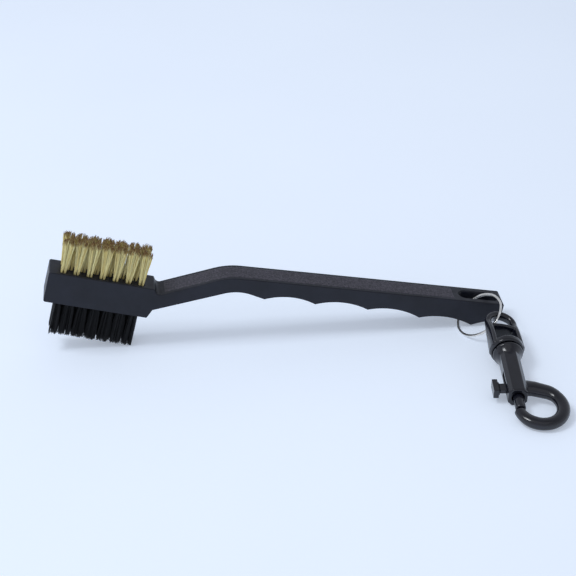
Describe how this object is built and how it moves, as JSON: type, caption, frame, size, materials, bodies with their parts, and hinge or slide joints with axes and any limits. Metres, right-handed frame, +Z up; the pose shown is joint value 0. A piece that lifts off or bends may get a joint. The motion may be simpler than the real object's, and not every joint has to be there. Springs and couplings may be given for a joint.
{
  "type": "club groove brush",
  "caption": "Two-sided groove cleaning brush with brass and nylon tufts, a finger-grip handle, a split ring and a swivelling bolt snap.",
  "frame": {"origin": "middle of the bottom of the whole object's box, on the table", "axes": "+Z up; +X from the bristle head towards the tail; the snap lies towards -Y"},
  "size_m": [0.1788, 0.079, 0.0462],
  "materials": {
    "body_plastic": "black moulded plastic, satin sides, fine leather grain on the handle's upper face",
    "snap_plastic": "black moulded acetal, semi-gloss",
    "brass_wire": "fine pale brass wire, darker at the cut ends",
    "nylon_bristle": "black nylon filament",
    "ring_nickel": "bright nickel-plated spring steel",
    "spring_steel": "plain spring wire"
  },
  "bodies": {
    "brush": {"brush_body": "body_plastic", "brass_tuft_01": "brass_wire", "brass_tuft_02": "brass_wire", "brass_tuft_03": "brass_wire", "brass_tuft_04": "brass_wire", "brass_tuft_05": "brass_wire", "brass_tuft_06": "brass_wire", "brass_tuft_07": "brass_wire", "brass_tuft_08": "brass_wire", "brass_tuft_09": "brass_wire", "brass_tuft_10": "brass_wire", "brass_tuft_11": "brass_wire", "brass_tuft_12": "brass_wire", "brass_tuft_13": "brass_wire", "brass_tuft_14": "brass_wire", "brass_tuft_15": "brass_wire", "brass_tuft_16": "brass_wire", "brass_tuft_17": "brass_wire", "brass_tuft_18": "brass_wire", "brass_tuft_19": "brass_wire", "brass_tuft_20": "brass_wire", "nylon_tuft_01": "nylon_bristle", "nylon_tuft_02": "nylon_bristle", "nylon_tuft_03": "nylon_bristle", "nylon_tuft_04": "nylon_bristle", "nylon_tuft_05": "nylon_bristle", "nylon_tuft_06": "nylon_bristle", "nylon_tuft_07": "nylon_bristle", "nylon_tuft_08": "nylon_bristle", "nylon_tuft_09": "nylon_bristle", "nylon_tuft_10": "nylon_bristle", "nylon_tuft_11": "nylon_bristle", "nylon_tuft_12": "nylon_bristle", "nylon_tuft_13": "nylon_bristle", "nylon_tuft_14": "nylon_bristle", "nylon_tuft_15": "nylon_bristle", "nylon_tuft_16": "nylon_bristle", "nylon_tuft_17": "nylon_bristle", "nylon_tuft_18": "nylon_bristle", "nylon_tuft_19": "nylon_bristle", "nylon_tuft_20": "nylon_bristle"},
    "ring": {"split_ring": "ring_nickel"},
    "eye": {"swivel_eye": "snap_plastic"},
    "hook": {"hook_body": "snap_plastic", "bolt_spring": "spring_steel"},
    "trigger": {"trigger_bolt": "snap_plastic"}
  },
  "joints": [
    {"name": "ring_turn", "type": "hinge", "parent": "brush", "child": "ring", "pos_m": [0.07046, 0.02723, 0.00631], "axis": [-0.6025, -0.1538, 0.7832], "range_deg": [-30, 40]},
    {"name": "eye_lift", "type": "hinge", "parent": "ring", "child": "eye", "pos_m": [0.07493, 0.01943, 0.00822], "axis": [-0.973, 0.0568, 0.2238], "range_deg": [0, 60]},
    {"name": "swivel", "type": "hinge", "parent": "eye", "child": "hook", "pos_m": [0.0749, 0.00153, 0.00609], "axis": [-0.0815, -0.9914, -0.1028], "continuous": true},
    {"name": "bolt_slide", "type": "slide", "parent": "hook", "child": "trigger", "axis": [0.0815, 0.9914, 0.1028], "range_m": [0, 0.006], "stiffness_N_per_m": 250, "springref_m": -0.004, "deforming": ["bolt_spring"]}
  ]
}
